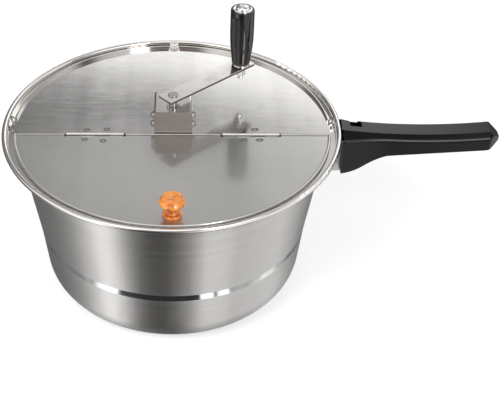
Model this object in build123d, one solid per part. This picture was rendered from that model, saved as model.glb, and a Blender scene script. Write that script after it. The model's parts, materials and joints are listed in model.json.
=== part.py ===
"""Stovetop popcorn popper: a stainless pot with a long handle, a lid whose front half is a
hinged flap, and a crank that turns a wire stirrer over the pot's floor.

Millimetres, +Z up. The origin is the centre of the pot's flat base. The long handle points
along +X, and the flap with its wooden knob faces -Y. The shaft of the crank stands on Z.
"""
from build123d import *
import math
import os

# Pot: a pressed bowl with a rolled rim and a step under it that the lid sits on
POT_HEIGHT = 140.0
RIM_RADIUS = 130.0
RIM_BEAD = 4.0
POT_SHEET = 1.0
POT_FLOOR = 1.6
SEAT_DEPTH = 5.0
SEAT_STEP = 11.5
BAND_HEIGHT = 58.5
BAND_TAPER = 11.3
FOOT_TAPER = 6.2
FOOT_ROUNDING = 27.0
SHOULDER_ROUNDING = 2.2
NECK_ROUNDING = 1.2
NECK_TUCK = 0.5

# Lid: two halves of one sheet disc, joined by two short butt hinges
LID_SIDE_GAP = 3.7
LID_SHEET = 0.8
SEAT_GAP = 0.2
HINGE_Y = -9.5
HALF_GAP = 0.4
FOLD_DEPTH = 4.0
FOLD_ROUNDING = 0.7
FOLD_END_GAP = 2.0
FOLD_LEAF_GAP = 3.0
FLAP_BEAD = 2.4
LIP_HEIGHT = 2.4

# Hinges: leaves spot-welded under the sheet, with knuckles turned by one half and the other
KNUCKLE_RADIUS = 1.6
KNUCKLES = 4
KNUCKLE_GAP = 0.3
HINGE_START = 38.0
HINGE_LENGTH = 43.0
LEAF_SHEET = 0.6
LEAF_DEPTH = 13.0
PIN_RADIUS = 0.85
PIN_CLEARANCE = 0.05
PIN_OVERHANG = 0.6
SWING_CLEARANCE = 0.5
NOTCH_END_GAP = 1.0

# Spring tongues that hold the lid in the rim
TONGUE_WIDTH = 7.5
TONGUE_LENGTH = 6.8
TONGUE_SHEET = 0.7
TONGUE_LEAN = 38.0
TONGUE_DIMPLE = 1.2
TONGUE_DIMPLE_RADIUS = 1.8
TONGUE_SIDE_ANGLE = 3.1
TONGUE_NOTCH = 0.8
TONGUE_GAP = 0.05
TONGUE_INSET = 0.8

# Crank bracket: a sheet box on the lid that holds the shaft upright
BRACKET_WIDTH = 29.0
BRACKET_HEIGHT = 19.5
BRACKET_FRONT_Y = -7.8
BRACKET_DEPTH = 29.3
BRACKET_SHEET = 1.0
BRACKET_FOOT = 6.0
BRACKET_FOOT_START = 4.0
BRACKET_ROUNDING = 0.8
FLANGE_DEPTH = 6.6
FLANGE_END_GAP = 2.0
RIVET_RADIUS = 1.2
RIVET_HEAD_RADIUS = 2.2
RIVET_HEAD_HEIGHT = 2.0
RIVET_TAIL = 0.6
RIVET_TAIL_RADIUS = 1.8
RIVET_SETBACK = 3.8
RIVET_HEIGHTS = (7.0, 14.8)

# Shaft and its bearings
SHAFT_RADIUS = 3.0
RUNNING_CLEARANCE = 0.05
BUSH_WALL = 1.05
BUSH_FLANGE_WIDTH = 1.1
BUSH_FLANGE = 0.8
BUSH_LENGTH = 5.0
BUSH_TAIL = 1.2
SLEEVE_WALL = 2.5
END_FLOAT = 0.3
SHAFT_HEAD_RADIUS = 4.0
SHAFT_HEAD = 0.9
TENON_RADIUS = 2.4
SET_SCREW_RADIUS = 1.6
SET_SCREW_SOCKET = 0.8
SET_SCREW_SOCKET_DEPTH = 1.6

# Crank arm and its turning grip
CRANK_RADIUS = 71.0
CRANK_ANGLE = 41.5
ARM_WIDTH = 14.6
ARM_SHEET = 2.0
ARM_OVERHANG = 8.4
ARM_LIFT = 8.5
ARM_CORNER = 0.8
GRIP_LENGTH = 44.0
GRIP_TOP_RADIUS = 9.2
GRIP_FOOT_RADIUS = 7.3
GRIP_WAIST_HEIGHT = 22.0
GRIP_WAIST_RADIUS = 9.3
GRIP_EDGE = 0.8
BOLT_RADIUS = 2.25
BOLT_HEAD_RADIUS = 8.2
BOLT_HEAD_RIM = 1.6
BOLT_HEAD_STEP = 1.2
BOLT_HEAD_DOME = 4.2
BOLT_TAIL = 11.0
CROSS_RECESS = 3.4
CROSS_SLOT = 0.8
NUT_FLATS = 7.0
NUT_HEIGHT = 7.6
WASHER_RADIUS = 6.5
WASHER_SHEET = 0.8
PLAY = 0.3

# Stirrer: a bent wire through a hub on the end of the shaft
HUB_WALL = 3.5
HUB_LENGTH = 17.0
HUB_LIFT = 5.5
HUB_CHAMFER = 0.8
HUB_WIRE_INSET = 3.0
WIRE_RADIUS = 1.5
STIRRER_GAP = 2.0
STIRRER_SIDE_GAP = 19.0
STIRRER_END_ANGLE = 23.5
DROP_START = 18.0
DROP_END = (30.0, 4.0)
SWEEP_BEND = (60.0, 14.0)
WIRE_BEND = 9.0

# Wooden knob on the flap
KNOB_INSET = 14.3
KNOB_HEIGHT = 15.2
KNOB_RADIUS = 9.5
KNOB_WIDEST = 12.0
KNOB_CROWN = (8.0, 14.1)
KNOB_NECK_RADIUS = 4.9
KNOB_NECK_HEIGHT = 6.2
KNOB_FOOT_RADIUS = 6.9
KNOB_FOOT_RIM = 2.4
KNOB_RING_RADIUS = 6.0
KNOB_RING_TOP = 4.4
KNOB_GROOVE = 0.6
KNOB_SCREW_RADIUS = 2.0
KNOB_SCREW_DEPTH = 9.0
SCREW_HEAD_RADIUS = 3.8
SCREW_HEAD = 1.8
SCREW_SLOT = 1.0
FIT = 0.05

# Long handle: drops are measured down from the top of the pot, runs along the handle from its
# root, and each belly point is a run and a rise above the root's underside
HANDLE_CLEARANCE = 1.0
HANDLE_LENGTH = 124.5
HANDLE_WIDTH = 25.0
ROOT_WIDTH = 33.0
FLARE_RUN = 38.0
FLARE_SLOPE = 0.16
ROOT_TOP_DROP = 0.6
ROOT_UNDER_DROP = 36.2
WAIST_RUN = 60.0
WAIST_DROP = 4.6
END_DROP = 1.9
BELLY_START = (13.0, 3.0)
BELLY_MIDDLE = (22.0, 8.2)
BELLY_TURN = (34.0, 13.6)
BELLY_END = (47.0, 15.0)
ROOT_SLOPE = 0.06
HEEL_LENGTH = 12.5
HEEL_DROP = 16.6
NOSE_LENGTH = 8.5
NOSE_WIDTH = 8.0
NOSE_ROUNDING = 2.5
NOSE_FALL = 6.1
NOSE_EDGE = 3.4
NOSE_SLOPE = 0.7
TOP_BEVEL = 5.7
TOP_BEVEL_ANGLE = 28.0
HANDLE_UNDER_EDGE = 1.6
NOTCH_LENGTH = 14.0
NOTCH_START = 10.5
NOTCH_TIP = 5.0
NOTCH_DEPTH = 7.0

# Steel brace between the pot and the handle
BRACE_WIDTH = 19.0
BRACE_DROP = 10.0
BRACE_HEIGHT = 27.5
BRACE_SHEET = 1.5
TANG_HEIGHT = 19.0
TANG_LENGTH = 15.0
PAD_WIDTH = 34.0
PAD_MARGIN = 2.0
BRACE_SCREW_SETBACK = 8.0
BRACE_SCREW_RADIUS = 2.0
BRACE_SCREW_HEAD_RADIUS = 3.6
BRACE_SCREW_HEAD = 1.2
BRACE_SCREW_LENGTH = 9.0
BRACE_SCREW_SEAT = 3.0
BRACE_SCREW_ROOM = 0.3

# Radii and levels that follow from the sizes above
RIM_BEAD_RADIUS = RIM_BEAD / 2
RIM_CENTRE_Z = POT_HEIGHT - RIM_BEAD_RADIUS
SEAT_Z = POT_HEIGHT - SEAT_DEPTH
NECK_RADIUS = RIM_RADIUS - RIM_BEAD + NECK_TUCK
WALL_TOP_RADIUS = RIM_RADIUS - SEAT_STEP
BAND_RADIUS = WALL_TOP_RADIUS - BAND_TAPER
FOOT_RADIUS = BAND_RADIUS - FOOT_TAPER
LID_RADIUS = NECK_RADIUS - POT_SHEET - LID_SIDE_GAP
LID_BOTTOM = SEAT_Z + SEAT_GAP
LID_TOP = LID_BOTTOM + LID_SHEET
HINGE_Z = LID_BOTTOM - LEAF_SHEET + KNUCKLE_RADIUS
HINGE_REACH = KNUCKLE_RADIUS + SWING_CLEARANCE
TONGUE_Z = LID_TOP + TONGUE_GAP
TONGUE_FOOT_RADIUS = LID_RADIUS - TONGUE_INSET
BRACKET_TOP = LID_TOP + BRACKET_HEIGHT
BRACKET_BACK_Y = BRACKET_FRONT_Y + BRACKET_DEPTH
BUSH_RADIUS = SHAFT_RADIUS + RUNNING_CLEARANCE + BUSH_WALL
SLEEVE_RADIUS = SHAFT_RADIUS + SLEEVE_WALL
SLEEVE_BOTTOM = LID_TOP + BUSH_FLANGE + END_FLOAT
SLEEVE_TOP = BRACKET_TOP - BUSH_LENGTH - END_FLOAT
SLEEVE_SCREW_Z = (SLEEVE_BOTTOM + SLEEVE_TOP) / 2
ARM_BOTTOM = BRACKET_TOP + ARM_LIFT
ARM_TOP = ARM_BOTTOM + ARM_SHEET
GRIP_BOTTOM = ARM_TOP + WASHER_SHEET + PLAY
GRIP_TOP = GRIP_BOTTOM + GRIP_LENGTH
WIRE_Z = POT_FLOOR + STIRRER_GAP + WIRE_RADIUS
STIRRER_REACH = FOOT_RADIUS - STIRRER_SIDE_GAP
HUB_RADIUS = SHAFT_RADIUS + HUB_WALL
HUB_BOTTOM = POT_FLOOR + HUB_LIFT
HUB_TOP = HUB_BOTTOM + HUB_LENGTH
HUB_WIRE_Z = HUB_BOTTOM + HUB_WIRE_INSET
SHAFT_BOTTOM = HUB_WIRE_Z + 2 * WIRE_RADIUS
HUB_SCREW_Z = (SHAFT_BOTTOM + HUB_TOP) / 2
KNOB_Y = -(LID_RADIUS - KNOB_INSET)
HANDLE_ROOT_X = RIM_RADIUS + HANDLE_CLEARANCE
HANDLE_END_X = HANDLE_ROOT_X + HANDLE_LENGTH
BRACE_TOP = POT_HEIGHT - BRACE_DROP
BRACE_BOTTOM = BRACE_TOP - BRACE_HEIGHT
TANG_BOTTOM = BRACE_TOP - TANG_HEIGHT
BRACE_SCREW_X = HANDLE_ROOT_X + BRACE_SCREW_SETBACK
ROOT_TOP = POT_HEIGHT - ROOT_TOP_DROP
ROOT_UNDER = POT_HEIGHT - ROOT_UNDER_DROP
END_TOP = POT_HEIGHT - END_DROP
BRACE_SCREW_Z = TANG_BOTTOM - BRACE_SCREW_SEAT
EXTRA = 1.0


def turned(points, radii=None):
    """A solid of revolution about Z from a closed outline of (radius, height) points."""
    if radii is None:
        outline = Polyline(*points, close=True)
    else:
        outline = FilletPolyline(*points, radius=radii, close=True)
    return revolve(Plane.XZ * make_face(outline), Axis.Z)


def rod(radius, bottom, top, at=(0.0, 0.0)):
    """An upright cylinder between two heights."""
    height = top - bottom
    return Pos(at[0], at[1], bottom + height / 2) * Cylinder(radius, height)


def block(low, high):
    """A box between two corners."""
    size = [b - a for a, b in zip(low, high)]
    middle = [(a + b) / 2 for a, b in zip(low, high)]
    return Pos(*middle) * Box(*size)


def upright_face(face, near_y, far_y):
    """A face drawn in X and Z, made solid between two Y values."""
    return Pos(0, far_y, 0) * extrude(Plane.XZ * face, far_y - near_y)


def around(shape, angle):
    """The shape turned about Z."""
    return Rot(0, 0, angle) * shape


def save(name, *solids):
    """Writes one sub-part, which may hold several separate solids."""
    shape = solids[0] if len(solids) == 1 else Part() + list(solids)
    export_step(shape, f"parts/{name}.step")


# --- Pot ------------------------------------------------------------------------------

def pot_skin_points(inset, floor):
    """The pot's skin from the axis to the neck, moved inwards by inset."""
    shoulder = SEAT_Z - POT_SHEET + inset
    return [
        (0.0, floor),
        (FOOT_RADIUS - inset, floor),
        (BAND_RADIUS - inset, BAND_HEIGHT),
        (WALL_TOP_RADIUS - inset, shoulder),
        (NECK_RADIUS - inset, shoulder),
        (NECK_RADIUS - inset, RIM_CENTRE_Z),
    ]


def pot_skin_radii(inset):
    """The rounding at each point of pot_skin_points."""
    return [0.0, FOOT_ROUNDING - inset, 0.0, SHOULDER_ROUNDING + inset, NECK_ROUNDING - inset, 0.0]


def pot_filled(inset):
    """The pot's outer form as a closed lump, grown outwards when inset is negative."""
    points = pot_skin_points(inset, 0.0) + [(0.0, RIM_CENTRE_Z)]
    return turned(points, pot_skin_radii(inset) + [0.0])


def make_pot_body():
    outside = pot_skin_points(0.0, 0.0)
    inside = pot_skin_points(POT_SHEET, POT_FLOOR)
    radii = pot_skin_radii(0.0) + pot_skin_radii(POT_SHEET)[::-1]
    bowl = turned(outside + inside[::-1], radii)
    rim = Pos(0, 0, RIM_CENTRE_Z) * Torus(RIM_RADIUS - RIM_BEAD_RADIUS, RIM_BEAD_RADIUS)
    return bowl + rim


# --- Long handle ----------------------------------------------------------------------

def channel_along_x(start, end, bottom):
    """An open-topped channel of the brace's width."""
    half = BRACE_WIDTH / 2
    channel = block((start, -half, bottom), (end, half, BRACE_TOP))
    inner_low = (start - EXTRA, -half + BRACE_SHEET, bottom + BRACE_SHEET)
    return channel - block(inner_low, (end + EXTRA, half - BRACE_SHEET, BRACE_TOP + EXTRA))


def make_handle_brace():
    """A pad spot-welded to the wall, with a channel whose shallower tang the handle slides over."""
    pad_half = PAD_WIDTH / 2
    pad_box = block(
        (0, -pad_half, BRACE_BOTTOM - PAD_MARGIN),
        (RIM_RADIUS, pad_half, BRACE_TOP - PAD_MARGIN),
    )
    pad = (pot_filled(-BRACE_SHEET) - pot_filled(0.0)) & pad_box
    channel = channel_along_x(BAND_RADIUS, HANDLE_ROOT_X, BRACE_BOTTOM) - pot_filled(-BRACE_SHEET / 2)
    tang = channel_along_x(HANDLE_ROOT_X - BRACE_SHEET, HANDLE_ROOT_X + TANG_LENGTH, TANG_BOTTOM)
    hole = rod(BRACE_SCREW_RADIUS, TANG_BOTTOM - EXTRA, TANG_BOTTOM + BRACE_SHEET + EXTRA, (BRACE_SCREW_X, 0))
    return pad + channel + tang - hole


def handle_top_line():
    """The line along the handle's top, from its root to the start of its sloping nose."""
    root = (HANDLE_ROOT_X, ROOT_TOP)
    waist = (HANDLE_ROOT_X + WAIST_RUN, POT_HEIGHT - WAIST_DROP)
    return Spline(root, waist, (HANDLE_END_X - NOSE_LENGTH, END_TOP))


def handle_side():
    """The handle's outline from the side, as a slab along Y that runs on past the nose."""
    far_x = HANDLE_END_X + EXTRA
    fall = NOSE_FALL / NOSE_LENGTH
    far_top = END_TOP - fall * (NOSE_LENGTH + EXTRA)
    far_under = END_TOP - NOSE_FALL - NOSE_EDGE + NOSE_SLOPE * EXTRA
    root_under = (HANDLE_ROOT_X, ROOT_UNDER)
    belly = []
    for run, rise in (BELLY_START, BELLY_MIDDLE, BELLY_TURN):
        belly.append((HANDLE_ROOT_X + run, ROOT_UNDER + rise))
    palm = (HANDLE_ROOT_X + BELLY_END[0], ROOT_UNDER + BELLY_END[1])
    heel = (HANDLE_END_X - HEEL_LENGTH, POT_HEIGHT - HEEL_DROP)
    palm_slope = (heel[0] - palm[0], heel[1] - palm[1])
    outline = [
        Line(root_under, (HANDLE_ROOT_X, ROOT_TOP)),
        handle_top_line(),
        Line((HANDLE_END_X - NOSE_LENGTH, END_TOP), (far_x, far_top)),
        Line((far_x, far_top), (far_x, far_under)),
        Spline(heel, (far_x, far_under), tangents=[palm_slope, (1, NOSE_SLOPE)]),
        Line(palm, heel),
        Spline(root_under, *belly, palm, tangents=[(1, ROOT_SLOPE), palm_slope]),
    ]
    return upright_face(make_face(outline), -ROOT_WIDTH, ROOT_WIDTH)


def handle_plan():
    """The handle's outline from above: a flared root, straight sides and a blunt nose."""
    half = HANDLE_WIDTH / 2
    corner_x = HANDLE_END_X - NOSE_LENGTH
    flare_end = HANDLE_ROOT_X + FLARE_RUN
    outline = [
        Line((HANDLE_ROOT_X, ROOT_WIDTH / 2), (HANDLE_ROOT_X, -ROOT_WIDTH / 2)),
        Line((HANDLE_END_X, NOSE_WIDTH / 2), (HANDLE_END_X, -NOSE_WIDTH / 2)),
    ]
    for side in (-1, 1):
        root = (HANDLE_ROOT_X, side * ROOT_WIDTH / 2)
        outline += [
            Spline(root, (flare_end, side * half), tangents=[(1, -side * FLARE_SLOPE), (1, 0)]),
            Line((flare_end, side * half), (corner_x, side * half)),
            Line((corner_x, side * half), (HANDLE_END_X, side * NOSE_WIDTH / 2)),
        ]
    bar = extrude(make_face(outline), 2 * POT_HEIGHT)
    corners = [edge for edge in bar.edges().filter_by(Axis.Z) if edge.center().X > corner_x - EXTRA]
    return fillet(corners, NOSE_ROUNDING)


def handle_bevel(side):
    """What a long sloping bevel keeps of one side of the handle: all that lies under it."""
    far_x = HANDLE_END_X + EXTRA
    under_top = make_face([
        handle_top_line(),
        Line((HANDLE_END_X - NOSE_LENGTH, END_TOP), (far_x, END_TOP)),
        Line((far_x, END_TOP), (far_x, 0)),
        Line((far_x, 0), (HANDLE_ROOT_X, 0)),
        Line((HANDLE_ROOT_X, 0), (HANDLE_ROOT_X, ROOT_TOP)),
    ])
    start = Pos(0, side * (HANDLE_WIDTH / 2 - TOP_BEVEL), 0) * (Plane.XZ * under_top)
    angle = math.radians(TOP_BEVEL_ANGLE)
    outwards = Vector(0, side * math.cos(angle), -math.sin(angle))
    return extrude(start, 2 * ROOT_WIDTH, dir=outwards) + extrude(start, 2 * ROOT_WIDTH, dir=-outwards)


def handle_under_edges(body):
    """The edges that run round the underside, without those of the root."""
    edges = []
    for face in body.faces():
        if face.normal_at().Z < -0.01:
            edges += [edge for edge in face.edges() if abs(edge.center().Y) > EXTRA]
    return edges


def handle_body():
    body = handle_side() & handle_plan()
    for side in (-1, 1):
        body = body & handle_bevel(side)
    return fillet(handle_under_edges(body), HANDLE_UNDER_EDGE)


def make_handle_grip():
    body = handle_body()
    half = BRACE_WIDTH / 2 + FIT
    socket = block(
        (HANDLE_ROOT_X - EXTRA, -half, TANG_BOTTOM),
        (HANDLE_ROOT_X + TANG_LENGTH + FIT, half, BRACE_TOP + FIT),
    )
    at = (BRACE_SCREW_X, 0)
    body -= rod(BRACE_SCREW_RADIUS + FIT, 0, TANG_BOTTOM + EXTRA, at)
    body -= rod(BRACE_SCREW_HEAD_RADIUS + BRACE_SCREW_ROOM, 0, BRACE_SCREW_Z, at)
    side = ROOT_WIDTH / 2 + EXTRA
    tip_end = NOTCH_START + NOTCH_TIP
    outline = make_face(Polyline((0, side), (NOTCH_LENGTH, side), (tip_end, 0), (NOTCH_START, 0), close=True))
    notch = Pos(HANDLE_ROOT_X, 0, ROOT_TOP - NOTCH_DEPTH) * extrude(outline, 2 * NOTCH_DEPTH)
    return body - socket - notch


def make_handle_screw():
    """A slotted screw from below, through the handle into the brace."""
    at = (BRACE_SCREW_X, 0)
    shank = rod(BRACE_SCREW_RADIUS, BRACE_SCREW_Z, BRACE_SCREW_Z + BRACE_SCREW_LENGTH, at)
    head = rod(BRACE_SCREW_HEAD_RADIUS, BRACE_SCREW_Z - BRACE_SCREW_HEAD, BRACE_SCREW_Z, at)
    slot = Box(3 * BRACE_SCREW_HEAD_RADIUS, SCREW_SLOT, BRACE_SCREW_HEAD)
    return shank + head - Pos(BRACE_SCREW_X, 0, BRACE_SCREW_Z - BRACE_SCREW_HEAD) * slot


# --- Lid ------------------------------------------------------------------------------

def half_space(front):
    """A block that keeps the front or the back of the hinge line."""
    far = 2 * LID_RADIUS
    if front:
        return block((-far, -far, 0), (far, HINGE_Y - HALF_GAP, far))
    return block((-far, HINGE_Y + HALF_GAP, 0), (far, far, far))


def hinge_spans():
    """The low X of each of the two hinges."""
    return [-HINGE_START - HINGE_LENGTH, HINGE_START]


def knuckle_notches():
    """Openings in the sheet round the two rows of knuckles."""
    end_gap = PIN_OVERHANG + NOTCH_END_GAP
    notches = []
    for start in hinge_spans():
        low = (start - end_gap, HINGE_Y - HINGE_REACH, LID_BOTTOM - LEAF_DEPTH)
        high = (start + HINGE_LENGTH + end_gap, HINGE_Y + HINGE_REACH, LID_TOP + LEAF_DEPTH)
        notches.append(block(low, high))
    return notches


def folded_edge(front):
    """The fold under the sheet's straight edge, left out where the hinge leaves lie."""
    side = -1 if front else 1
    edge = HINGE_Y + side * HALF_GAP
    far = edge + side * FOLD_DEPTH
    low_y, high_y = sorted((edge, far))
    reach = WALL_TOP_RADIUS - POT_SHEET - FOLD_END_GAP
    inner = HINGE_START - FOLD_LEAF_GAP
    outer = HINGE_START + HINGE_LENGTH + FOLD_LEAF_GAP
    strips = []
    for low_x, high_x in ((-reach, -outer), (-inner, inner), (outer, reach)):
        strips.append(block((low_x, low_y, LID_BOTTOM - LID_SHEET), (high_x, high_y, LID_BOTTOM)))
    return strips


def round_fold(plate, front):
    """Rounds the long folded edge of a lid half."""
    side = -1 if front else 1
    edge_y = HINGE_Y + side * HALF_GAP
    edges = []
    for edge in plate.edges().filter_by(Axis.X):
        middle = edge.center()
        on_plate_bottom = abs(middle.Z - LID_BOTTOM) < 0.01
        if abs(middle.Y - edge_y) < 0.01 and not on_plate_bottom:
            edges.append(edge)
    return fillet(edges, FOLD_ROUNDING)


def lip_angles():
    """The two arcs of the upturned lip, from each side tongue to the back one, in degrees."""
    notch = math.degrees((TONGUE_WIDTH / 2 + TONGUE_NOTCH) / LID_RADIUS)
    return [
        (TONGUE_SIDE_ANGLE + notch, 90 - notch),
        (90 + notch, 180 - TONGUE_SIDE_ANGLE - notch),
    ]


def ring_sector(inner, outer, bottom, top, start, end):
    """Part of an upright ring between two angles."""
    outline = Polyline((inner, bottom), (outer, bottom), (outer, top), (inner, top), close=True)
    section = Plane.XZ * make_face(outline)
    return around(revolve(section, Axis.Z, end - start), start)


def make_lid_back():
    plate = rod(LID_RADIUS, LID_BOTTOM, LID_TOP) & half_space(False)
    for strip in folded_edge(False):
        plate += strip
    plate = round_fold(plate, False)
    for start, end in lip_angles():
        plate += ring_sector(LID_RADIUS - LID_SHEET, LID_RADIUS, LID_BOTTOM, LID_TOP + LIP_HEIGHT, start, end)
    for notch in knuckle_notches():
        plate -= notch
    return plate - rod(BUSH_RADIUS, LID_BOTTOM - EXTRA, LID_TOP + EXTRA)


def make_lid_flap():
    plate = rod(LID_RADIUS - FLAP_BEAD / 2, LID_BOTTOM, LID_TOP) & half_space(True)
    for strip in folded_edge(True):
        plate += strip
    plate = round_fold(plate, True)
    bead = Pos(0, 0, LID_BOTTOM + FLAP_BEAD / 2) * Torus(LID_RADIUS - FLAP_BEAD / 2, FLAP_BEAD / 2)
    plate += bead & half_space(True)
    for notch in knuckle_notches():
        plate -= notch
    return plate - rod(KNOB_SCREW_RADIUS + FIT, LID_BOTTOM - EXTRA, LID_TOP + EXTRA, (0, KNOB_Y))


def along_x(radius, start, end, y, z):
    """A cylinder that lies along X."""
    length = end - start
    return Pos(start + length / 2, y, z) * (Rot(0, 90, 0) * Cylinder(radius, length))


def make_leaves(front):
    """The two leaves of one lid half, each with every other knuckle of its hinge."""
    side = -1 if front else 1
    pitch = HINGE_LENGTH / KNUCKLES
    leaves = []
    for start in hinge_spans():
        near = HINGE_Y
        far = HINGE_Y + side * LEAF_DEPTH
        low_y, high_y = sorted((near, far))
        leaf = block((start, low_y, LID_BOTTOM - LEAF_SHEET), (start + HINGE_LENGTH, high_y, LID_BOTTOM))
        for index in range(KNUCKLES):
            own = index % 2 == (1 if front else 0)
            low_x = start + index * pitch
            high_x = low_x + pitch
            if own:
                ends = (low_x + KNUCKLE_GAP / 2, high_x - KNUCKLE_GAP / 2)
                leaf += along_x(KNUCKLE_RADIUS, *ends, HINGE_Y, HINGE_Z)
                continue
            low_cut = (low_x - KNUCKLE_GAP / 2, HINGE_Y - HINGE_REACH, LID_BOTTOM - 2 * LEAF_SHEET)
            high_cut = (high_x + KNUCKLE_GAP / 2, HINGE_Y + HINGE_REACH, LID_TOP)
            leaf -= block(low_cut, high_cut)
        bore = PIN_RADIUS + PIN_CLEARANCE if front else PIN_RADIUS
        leaf -= along_x(bore, start - EXTRA, start + HINGE_LENGTH + EXTRA, HINGE_Y, HINGE_Z)
        leaves.append(leaf)
    return leaves


def make_hinge_pins():
    pins = []
    for start in hinge_spans():
        ends = (start - PIN_OVERHANG, start + HINGE_LENGTH + PIN_OVERHANG)
        pins.append(along_x(PIN_RADIUS, *ends, HINGE_Y, HINGE_Z))
    return pins


# --- Spring tongues -------------------------------------------------------------------

def make_tongue(angle):
    """A leaning spring tongue with a pressed dimple, standing on the lid's edge."""
    half = TONGUE_WIDTH / 2
    straight = TONGUE_LENGTH - half
    face = Pos(0, straight / 2 - EXTRA) * Rectangle(TONGUE_WIDTH, straight + 2 * EXTRA)
    face += Pos(0, straight) * Circle(half)
    blade = extrude(face, TONGUE_SHEET)
    ball_radius = (TONGUE_DIMPLE_RADIUS**2 + TONGUE_DIMPLE**2) / (2 * TONGUE_DIMPLE)
    depth = ball_radius - TONGUE_DIMPLE
    bump = Pos(0, straight, TONGUE_SHEET - depth) * Sphere(ball_radius)
    bump = bump & block((-half, -half, 0), (half, TONGUE_LENGTH, TONGUE_LENGTH))
    hollow = Pos(0, straight, -depth) * Sphere(ball_radius)
    blade = blade + bump - hollow
    upright = Plane(origin=(0, 0, 0), x_dir=(0, 1, 0), z_dir=(1, 0, 0))
    leaning = Pos(TONGUE_FOOT_RADIUS, 0, TONGUE_Z) * (Rot(0, TONGUE_LEAN, 0) * (upright * blade))
    below = block((0, -TONGUE_WIDTH, TONGUE_Z - TONGUE_LENGTH), (2 * LID_RADIUS, TONGUE_WIDTH, TONGUE_Z))
    return around(leaning - below, angle)


# --- Crank bracket on the lid ---------------------------------------------------------

def arch(width, bottom, top, rounding):
    """An upright rectangle with two round top corners, centred on X = 0."""
    half = width / 2
    points = [(-half, bottom), (-half, top), (half, top), (half, bottom)]
    return make_face(FilletPolyline(*points, radius=[0.0, rounding, rounding, 0.0], close=True))


def rivet_places():
    """Y and Z of the rivets on each side of the bracket."""
    return [(BRACKET_FRONT_Y + RIVET_SETBACK, LID_TOP + height) for height in RIVET_HEIGHTS]


def rivet_holes():
    reach = BRACKET_WIDTH / 2 + EXTRA
    return [along_x(RIVET_RADIUS, -reach, reach, y, z) for y, z in rivet_places()]


def make_crank_bracket():
    outer = arch(BRACKET_WIDTH, LID_TOP, BRACKET_TOP, BRACKET_ROUNDING + BRACKET_SHEET)
    inner_width = BRACKET_WIDTH - 2 * BRACKET_SHEET
    inner = arch(inner_width, LID_TOP, BRACKET_TOP - BRACKET_SHEET, BRACKET_ROUNDING)
    walls = upright_face(outer, BRACKET_FRONT_Y, BRACKET_BACK_Y)
    walls -= upright_face(inner, BRACKET_FRONT_Y, BRACKET_BACK_Y)
    walls -= block(
        (-BRACKET_WIDTH, BRACKET_FRONT_Y - EXTRA, LID_TOP - EXTRA),
        (BRACKET_WIDTH, BRACKET_FRONT_Y + BRACKET_SHEET, BRACKET_TOP - BRACKET_SHEET),
    )
    for side in (-1, 1):
        low_x, high_x = sorted((side * inner_width / 2, side * (inner_width / 2 - BRACKET_FOOT)))
        walls += block(
            (low_x, BRACKET_FRONT_Y + BRACKET_FOOT_START, LID_TOP),
            (high_x, BRACKET_BACK_Y, LID_TOP + BRACKET_SHEET),
        )
    for hole in rivet_holes():
        walls -= hole
    return walls - rod(BUSH_RADIUS, BRACKET_TOP - BRACKET_SHEET - EXTRA, BRACKET_TOP + EXTRA)


def make_bracket_front():
    top = BRACKET_TOP - BRACKET_SHEET
    half = BRACKET_WIDTH / 2
    plate = block((-half, BRACKET_FRONT_Y, LID_TOP), (half, BRACKET_FRONT_Y + BRACKET_SHEET, top))
    for side in (-1, 1):
        low_x, high_x = sorted((side * (half - BRACKET_SHEET), side * (half - 2 * BRACKET_SHEET)))
        plate += block(
            (low_x, BRACKET_FRONT_Y + BRACKET_SHEET, LID_TOP + FLANGE_END_GAP),
            (high_x, BRACKET_FRONT_Y + BRACKET_SHEET + FLANGE_DEPTH, top - FLANGE_END_GAP),
        )
    for hole in rivet_holes():
        plate -= hole
    return plate


def make_bracket_rivets():
    rivets = []
    outside = BRACKET_WIDTH / 2
    ball_radius = (RIVET_HEAD_RADIUS**2 + RIVET_HEAD_HEIGHT**2) / (2 * RIVET_HEAD_HEIGHT)
    for side in (-1, 1):
        for y, z in rivet_places():
            middle = Pos(side * (outside + RIVET_HEAD_HEIGHT - ball_radius), y, z)
            head_x = sorted((side * outside, side * (outside + 2 * RIVET_HEAD_HEIGHT)))
            keep = block(
                (head_x[0], y - 2 * RIVET_HEAD_RADIUS, z - 2 * RIVET_HEAD_RADIUS),
                (head_x[1], y + 2 * RIVET_HEAD_RADIUS, z + 2 * RIVET_HEAD_RADIUS),
            )
            inner_end = outside - 2 * BRACKET_SHEET
            shank_x = sorted((side * inner_end, side * outside))
            tail_x = sorted((side * (inner_end - RIVET_TAIL), side * inner_end))
            rivet = middle * Sphere(ball_radius) & keep
            rivet += along_x(RIVET_RADIUS, shank_x[0], shank_x[1], y, z)
            rivet += along_x(RIVET_TAIL_RADIUS, tail_x[0], tail_x[1], y, z)
            rivets.append(rivet)
    return rivets


# --- Shaft, bushes and sleeve ---------------------------------------------------------

def flanged_bush(bottom, face):
    """A bush with its flange lying on the given face."""
    bush = rod(BUSH_RADIUS, bottom, face) + rod(BUSH_RADIUS + BUSH_FLANGE_WIDTH, face, face + BUSH_FLANGE)
    return bush - rod(SHAFT_RADIUS + RUNNING_CLEARANCE, bottom - EXTRA, face + BUSH_FLANGE + EXTRA)


def make_crank_shaft():
    shaft = rod(SHAFT_RADIUS, SHAFT_BOTTOM, ARM_BOTTOM) + rod(TENON_RADIUS, ARM_BOTTOM, ARM_TOP)
    head = rod(SHAFT_HEAD_RADIUS, ARM_TOP, ARM_TOP + SHAFT_HEAD)
    return shaft + fillet(head.edges().group_by(Axis.Z)[-1], SHAFT_HEAD / 2)


def set_screw_hole(radius, outside, z):
    """The threaded cross hole of a set screw, along +Y from the shaft."""
    length = outside - SHAFT_RADIUS
    return Pos(0, SHAFT_RADIUS + length / 2, z) * (Rot(90, 0, 0) * Cylinder(radius, length))


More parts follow.
